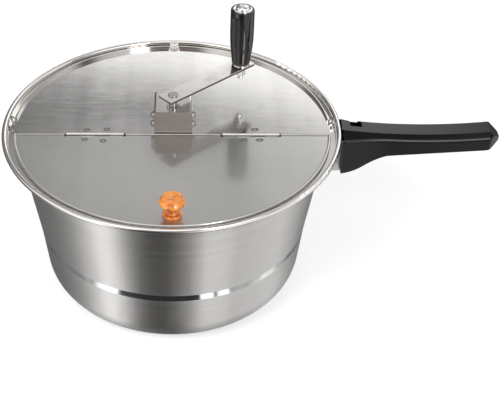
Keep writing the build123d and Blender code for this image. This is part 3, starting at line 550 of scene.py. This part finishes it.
def is_shoulder(edge):
    """Whether an edge runs along X between a slanted top and a steep side."""
    if len(edge.link_faces) != 2:
        return False
    along = (edge.verts[1].co - edge.verts[0].co).normalized()
    side, top = sorted(face.normal.z for face in edge.link_faces)
    return abs(along.x) > 0.75 and abs(side) < 0.3 and 0.7 < top < 0.95


def settle(obj):
    """Replaces an object's mesh by what its modifiers give."""
    graph = bpy.context.evaluated_depsgraph_get()
    mesh = bpy.data.meshes.new_from_object(obj.evaluated_get(graph))
    obj.modifiers.clear()
    obj.data = mesh


class Build(Graph):
    """A Geometry Nodes tree, with named inputs for its sizes and its finish."""

    def __init__(self, name, inputs):
        tree = bpy.data.node_groups.new(name, "GeometryNodeTree")
        tree.interface.new_socket("Geometry", in_out="OUTPUT", socket_type="NodeSocketGeometry")
        tree.interface.new_socket("Geometry", in_out="INPUT", socket_type="NodeSocketGeometry")
        self.sockets = {}
        for label, kind in inputs.items():
            kind = f"NodeSocket{kind}"
            item = tree.interface.new_socket(label, in_out="INPUT", socket_type=kind)
            self.sockets[label] = item.identifier
        super().__init__(tree)

    def value(self, label):
        """What comes in at a named input."""
        return self.node("NodeGroupInput", out=label)

    def finish(self, geometry, material):
        """Real geometry with its finish, to the tree's output."""
        real = self.node("GeometryNodeRealizeInstances", None, {"Geometry": geometry})
        values = {"Geometry": real, "Material": material}
        finished = self.node("GeometryNodeSetMaterial", None, values)
        self.node("NodeGroupOutput", None, {"Geometry": finished})

    def grow(self, name, mesh, values):
        """A plain mesh object that this tree makes from a mesh and its input values."""
        obj = new_object(name, mesh)
        modifier = obj.modifiers.new("made by nodes", "NODES")
        modifier.node_group = self.tree
        for label, value in values.items():
            modifier[self.sockets[label]] = value
        settle(obj)
        return obj


def turned_tree():
    """Turns an outline, in its X and Z, round the Z axis."""
    g = Build("turned", {"Segments": "Int", "Finish": "Material"})
    outline = g.value("Geometry")
    count = g.node("GeometryNodeAttributeDomainSize", None, {"Geometry": outline})
    across_count = g.value("Segments") + 1
    sizes = {"Size X": 1.0, "Size Y": 1.0, "Vertices X": across_count, "Vertices Y": count}
    sheet = g.node("GeometryNodeMeshGrid", None, sizes)
    across, along, _ = g.split(g.node("GeometryNodeInputPosition"))
    row = g.node("ShaderNodeMath", {"operation": "ROUND"}, {0: (along + 0.5) * (count - 1)})
    values = {"Geometry": outline, "Value": g.node("GeometryNodeInputPosition"), "Index": row}
    point = g.node("GeometryNodeSampleIndex", {"data_type": "FLOAT_VECTOR"}, values)
    radius, _, height = g.split(point)
    angle = across * (2 * math.pi)
    cosine = g.node("ShaderNodeMath", {"operation": "COSINE"}, {0: angle})
    sine = g.node("ShaderNodeMath", {"operation": "SINE"}, {0: angle})
    values = {"X": radius * cosine, "Y": radius * sine, "Z": height}
    place = g.node("ShaderNodeCombineXYZ", None, values)
    piece = g.node("GeometryNodeSetPosition", None, {"Geometry": sheet, "Position": place})
    values = {"Geometry": piece, "Distance": CLOSE_DISTANCE}
    g.finish(g.node("GeometryNodeMergeByDistance", None, values), g.value("Finish"))
    return g


def weld_tree():
    """Sets a shallow pressed ring on every point, each one sized a little differently."""
    inputs = {"Width": "Float", "Rim": "Float", "Seed": "Int", "Finish": "Material"}
    g = Build("spot_welds", inputs)
    values = {"Resolution": 20, "Radius": g.value("Width") / 2}
    path = g.node("GeometryNodeCurvePrimitiveCircle", None, values)
    values = {"Resolution": 8, "Radius": g.value("Rim")}
    wire = g.node("GeometryNodeCurvePrimitiveCircle", None, values)
    rim = g.node("GeometryNodeCurveToMesh", None, {"Curve": path, "Profile Curve": wire})
    limits = {0: (1.15, 0.75, 0.9), 1: (1.45, 0.95, 1.1), "Seed": g.value("Seed")}
    size = g.node("FunctionNodeRandomValue", {"data_type": "FLOAT_VECTOR"}, limits)
    points = g.node("GeometryNodeMeshToPoints", None, {"Mesh": g.value("Geometry")})
    values = {"Points": points, "Instance": rim, "Scale": size}
    g.finish(g.node("GeometryNodeInstanceOnPoints", None, values), g.value("Finish"))
    return g


def rivet_tree():
    """Sets a copy of a rivet on every point, each facing away from the middle plane."""
    g = Build("rivets", {"Rivet": "Object", "Finish": "Material"})
    rivet = g.node("GeometryNodeObjectInfo", None, {"Object": g.value("Rivet")}, "Geometry")
    across, _, _ = g.split(g.node("GeometryNodeInputPosition"))
    outwards = g.node("ShaderNodeCombineXYZ", None, {"X": across})
    turn = g.node("FunctionNodeAlignRotationToVector", {"axis": "Z"}, {"Vector": outwards})
    points = g.node("GeometryNodeMeshToPoints", None, {"Mesh": g.value("Geometry")})
    values = {"Points": points, "Instance": rivet, "Rotation": turn}
    g.finish(g.node("GeometryNodeInstanceOnPoints", None, values), g.value("Finish"))
    return g


def bracket_rivets(material):
    """The rivets that join the bracket's box to its front, two on each side."""
    pattern = turned("rivet_pattern", RIVET_OUTLINE, (0, 0, 0), material, RIVET_SEGMENTS)
    mesh = bpy.data.meshes.new("bracket_rivets_shown")
    sides = (bracket_low.x, bracket_high.x)
    heights = (rivet_middle.z - RIVET_MARGIN, rivet_middle.z + RIVET_MARGIN)
    mesh.from_pydata([(x, rivet_middle.y, z) for x in sides for z in heights], [], [])
    obj = RIVETS.grow("bracket_rivets_shown", mesh, {"Rivet": pattern, "Finish": material})
    bpy.data.objects.remove(pattern)
    return shade(obj, 40.0)


def turned(name, outline, place, material, segments=TURNED_SEGMENTS):
    """A lathe-turned piece that stands at a place."""
    mesh = bpy.data.meshes.new(name)
    points = [(radius * MM, 0.0, height * MM) for radius, height in outline]
    mesh.from_pydata(points, [(index, index + 1) for index in range(len(points) - 1)], [])
    obj = TURNED.grow(name, mesh, {"Segments": segments, "Finish": material})
    obj.data.transform(Matrix.Translation(place))
    face_outwards(obj)
    return shade(obj, 40.0)


def spot_welds(name, places, material):
    """The marks that the hinge leaves' spot welds leave on top of a lid half."""
    mesh = bpy.data.meshes.new(name)
    mesh.from_pydata([(x * MM, y * MM, LID_TOP) for x, y in places], [], [])
    values = {"Width": WELD_WIDTH, "Rim": WELD_RIM, "Seed": WELD_SEED, "Finish": material}
    obj = WELDS.grow(name, mesh, values)
    face_outwards(obj)
    return shade(obj, 60.0)


def face_outwards(obj):
    """Closes a mesh's seams and turns its faces outwards."""
    work = bmesh.new()
    work.from_mesh(obj.data)
    bmesh.ops.remove_doubles(work, verts=work.verts, dist=CLOSE_DISTANCE)
    bmesh.ops.recalc_face_normals(work, faces=work.faces)
    work.to_mesh(obj.data)
    work.free()


TURNED = turned_tree()
WELDS = weld_tree()
RIVETS = rivet_tree()


def body_of(node):
    """The body that a node rides on."""
    for body, members in frame["record"]["behaviour"]["bodies"].items():
        if node in members:
            return body
    return None


def slot_of(node):
    """The material slot that the record gives a node."""
    for part in frame["record"]["subparts"]:
        if part["node"] == node:
            return part["material_slot"]
    return None


def dress(node, obj, material):
    """Puts a piece in place of a CAD node, with its finish."""
    obj.data.materials.clear()
    obj.data.materials.append(material)
    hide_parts(node)
    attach(obj, body_of(node))
    slot_of(node)


# --- Pieces ---------------------------------------------------------------------------

wall = wall_steel()
lid = lid_steel("lid_steel", (STEEL_DARK, (0.66, 0.65, 0.635)), 0.085)
flap = lid_steel("flap_steel", ((0.58, 0.57, 0.56), STEEL), 0.10, 0.5)
polished = bright_steel("polished_steel", STEEL_BRIGHT, 0.13, (60.0, 2500.0, 400.0))
arm_steel = bright_steel(
    "arm_steel", (0.70, 0.68, 0.665), 0.15, (40.0, 2600.0, 400.0), -CRANK_ANGLE, ARM_SHEET,
)
bracket_steel = bright_steel("bracket_steel", (0.64, 0.61, 0.59), 0.13, (30.0, 2600.0, 2600.0))
rivet_steel = bright_steel("rivet_steel", (0.40, 0.36, 0.33), 0.22, (900.0, 900.0, 900.0))
shaft_steel = bright_steel("shaft_steel", (0.42, 0.41, 0.40), 0.16, (900.0, 900.0, 90.0))
brace_steel = bright_steel("brace_steel", (0.92, 0.915, 0.90), 0.30, (40.0, 1800.0, 1800.0))
weld_steel = bright_steel("weld_steel", (0.22, 0.21, 0.20), 0.30, (900.0, 900.0, 900.0))
chrome = bright_steel("cap_chrome", (0.82, 0.82, 0.82), 0.05, (90.0, 600.0, 600.0))
wood = varnished_wood()
handle_black = moulded_black("handle_phenolic", HANDLE_BLACK, 0.20, 0.008 * MM, 0.27, PAINTED_SHADE_RECESS)
grip_black = moulded_black("grip_gloss", GRIP_BLACK, 0.05, 0.001 * MM, 0.6)

# Each CAD node's finish, and how far its sharp edges are rounded, in mm
FINISHES = {
    "pot_body": (wall, 0.0),
    "handle_brace": (brace_steel, 0.15),
    "handle_grip": (handle_black, 0.7),
    "handle_screw": (polished, 0.12),
    "lid_back": (lid, 0.3),
    "lid_flap": (flap, 0.3),
    "hinge_leaves_back": (polished, 0.1),
    "hinge_leaves_front": (polished, 0.1),
    "hinge_pins": (polished, 0.12),
    "clip_right": (polished, 0.1),
    "clip_left": (polished, 0.1),
    "clip_back": (polished, 0.1),
    "crank_bracket": (bracket_steel, 0.45),
    "bracket_front": (bracket_steel, 0.45),
    "bracket_bush": (shaft_steel, 0.15),
    "lid_bush": (polished, 0.15),
    "crank_shaft": (shaft_steel, 0.1),
    "shaft_sleeve": (shaft_steel, 0.2),
    "stirrer_hub": (polished, 0.1),
    "set_screws": (polished, 0.05),
    "stirrer_wire": (polished, 0.0),
    "crank_arm": (arm_steel, 0.35),
    "grip_washer": (polished, 0.15),
    "grip_nut": (polished, 0.2),
    "lid_knob": (wood, 0.0),
    "knob_washer": (polished, 0.15),
    "knob_screw": (polished, 0.12),
}

# Edges over this angle, in degrees, are rounded, and on the handle over a smaller one. The
# shoulder along the handle is rounded more, in mm.
CREASE = 32.0
CREASES = {"handle_grip": 18.0}
SHOULDERS = {"handle_grip": 2.2}

for node, (material, edge) in FINISHES.items():
    crease = CREASES.get(node, CREASE)
    shoulder = SHOULDERS.get(node, 0.0) * MM
    dress(node, softened(node, f"{node}_shown", edge * MM, crease, shoulder), material)

for node, outline, material in (
    ("crank_grip", GRIP_OUTLINE, grip_black), ("grip_bolt", BOLT_OUTLINE, chrome),
):
    foot = (PIN_X, PIN_Y, outside(node)[0].z)
    dress(node, turned(f"{node}_shown", outline, foot, material), material)

dress("bracket_rivets", bracket_rivets(rivet_steel), rivet_steel)

for name, places, body in (
    ("spot_welds_back", WELDS_BACK, "lid"), ("spot_welds_flap", WELDS_FLAP, "flap"),
):
    welds = spot_welds(name, places, weld_steel)
    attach(welds, body)
    slot_of("lid_back")


# --- Studio ---------------------------------------------------------------------------

def make_camera():
    """The photograph's camera, turned about its own axis by the measured roll."""
    azimuth = math.radians(CAMERA_AZIMUTH)
    elevation = math.radians(CAMERA_ELEVATION)
    flat = math.cos(elevation)
    back = Vector((math.sin(azimuth) * flat, -math.cos(azimuth) * flat, math.sin(elevation)))
    camera = bpy.data.objects.new("camera", bpy.data.cameras.new("camera"))
    bpy.context.scene.collection.objects.link(camera)
    facing = back.to_track_quat("Z", "Y").to_matrix()
    roll = Matrix.Rotation(math.radians(CAMERA_ROLL), 3, "Z")
    place = Matrix.Translation(Vector(CAMERA_TARGET) + CAMERA_DISTANCE * back)
    camera.matrix_world = place @ (facing @ roll).to_4x4()
    camera.data.lens = FOCAL_LENGTH
    camera.data.sensor_width = SENSOR_WIDTH
    camera.data.clip_start = 0.01
    bpy.context.scene.camera = camera


def make_floor():
    """A wide pale table top, white to the eye where no shadow falls on it."""
    mesh = bpy.data.meshes.new("table")
    far = TABLE_HALF
    corners = [(-far, -far, 0), (far, -far, 0), (far, far, 0), (-far, far, 0)]
    mesh.from_pydata(corners, [], [(0, 1, 2, 3)])
    floor = new_object("table", mesh)
    f = new_finish("table_white")
    f.surface(base_color=f.blend(f.noise(3.0, 2.0), *TABLE_TONES), roughness=0.6)
    matt = Value(f, f.tree.nodes["Principled BSDF"].outputs[0])
    values = {"Color": (1.0, 1.0, 1.0, 1.0), "Strength": TABLE_GLOW}
    glow = f.node("ShaderNodeEmission", None, values)
    seen = f.node("ShaderNodeAddShader", None, {0: matt, 1: glow})
    f.overlay(f.node("ShaderNodeLightPath", out="Is Camera Ray"), seen)
    floor.data.materials.append(f.owner)
    floor.visible_glossy = False


def shade_of(level):
    """A brightness, or a colour, as a share of the brightest part of the studio."""
    colour = level if isinstance(level, tuple) else (level,) * 3
    return tuple(part / BRIGHTEST for part in colour)


def ring_of(f, where, pairs, first, last):
    """A ramp over (place, brightness) pairs, whose places run from first to last."""
    span = last - first
    stops = [((place - first) / span, shade_of(level)) for place, level in pairs]
    return f.node("ShaderNodeValToRGB", {"stops": stops}, {"Fac": (where - first) / span})


def make_world():
    """White where it is seen. What gloss and metal mirror is a ring of pale screens with dark
    gaps between them, a slanted screen behind the pot and a bright one over its front."""
    world = bpy.data.worlds.new("studio")
    bpy.context.scene.world = world
    f = Finish(world)
    x, y, z = f.split(f.node("ShaderNodeTexCoord", out="Generated"))
    angle = f.node("ShaderNodeMath", {"operation": "ARCTAN2"}, {0: x, 1: 0 - y})
    bearing = angle * (180 / math.pi)
    table = ring_of(f, bearing, TABLE_RING, -180, 180)
    table = f.blend(z.ramp(*UNDER_POT_Z, 0.62, 0.0), table, shade_of(UNDER_POT))
    ring = f.blend(z.ramp(*TABLE_TO_LOW_Z), table, ring_of(f, bearing, LOW_RING, -180, 180))
    ring = f.blend(z.ramp(*LOW_TO_HIGH_Z), ring, ring_of(f, bearing, HIGH_RING, -180, 180))

    over = f.blend(y.ramp(*FRONT_TO_BACK_Y), shade_of(FRONT_TOP), shade_of(BACK_TOP))
    over = f.blend(z.ramp(*TOP_TO_ZENITH_Z), over, shade_of(ZENITH))
    gap = z.ramp(*OVER_HANDLE_Z) * x.ramp(*OVER_HANDLE_X)
    over = f.blend(gap, over, shade_of(OVER_HANDLE))
    ring = f.blend(z.ramp(*HIGH_TO_TOP_Z), ring, over)

    far = ring_of(f, x, BEHIND_FAR, -BEHIND_WIDTH, BEHIND_WIDTH)
    near = ring_of(f, x, BEHIND_NEAR, -BEHIND_WIDTH, BEHIND_WIDTH)
    near = f.blend(z.ramp(*NEAR_DARKENS_Z, 0.0, 0.28), near, shade_of(BLACK))
    behind = f.blend(z.ramp(*FAR_TO_NEAR_Z), far, near)
    below_edge = SCREEN_EDGE_Z + SCREEN_EDGE_SLOPE * x - z
    screen = below_edge.ramp(-SCREEN_EDGE_SOFTNESS, SCREEN_EDGE_SOFTNESS)
    behind = f.blend(screen, behind, shade_of(SCREEN_BEHIND))
    place = y.ramp(*BEHIND_EDGE_Y) * abs(x).ramp(*BEHIND_EDGE_X, 1.0, 0.0)
    place = place * z.ramp(*BEHIND_BOTTOM_Z) * z.ramp(*BEHIND_TOP_Z, 1.0, 0.0)
    ring = f.blend(place, ring, behind)

    by_eye = f.node("ShaderNodeLightPath", out="Is Camera Ray")
    seen = by_eye.highest(f.node("ShaderNodeLightPath", out="Is Transmission Ray"))
    mirrored = f.node("ShaderNodeLightPath", out="Is Glossy Ray") * (1 - seen)
    plain = f.blend(seen, (AMBIENT,) * 3, (1.0, 1.0, 1.0))
    colour = f.blend(mirrored, plain, ring)
    strength = 1.0 + (BRIGHTEST - 1.0) * mirrored
    shader = f.node("ShaderNodeBackground", None, {"Color": colour, "Strength": strength})
    f.node("ShaderNodeOutputWorld", None, {"Surface": shader})


def make_lamp(name, place, aim, size, power, mirrored):
    """A soft rectangular lamp that points at a place, and shows in gloss where mirrored is set."""
    data = bpy.data.lights.new(name, "AREA")
    data.shape = "RECTANGLE"
    data.size, data.size_y = size
    data.energy = power
    lamp = new_object(name, data)
    direction = Vector(place) - Vector(aim)
    lamp.visible_glossy = mirrored
    turned_to = direction.to_track_quat("Z", "Y").to_matrix().to_4x4()
    lamp.matrix_world = Matrix.Translation(place) @ turned_to


make_camera()
make_floor()
make_world()
make_lamp("key", (-0.75, -0.75, 1.05), (0, 0, 0.1), (0.7, 0.7), 8.0, mirrored=False)
make_lamp("fill", (0.50, -1.00, 0.95), (0.1, 0, 0.1), (0.25, 0.6), 4.0, mirrored=True)

bpy.context.scene.view_settings.view_transform = "Standard"
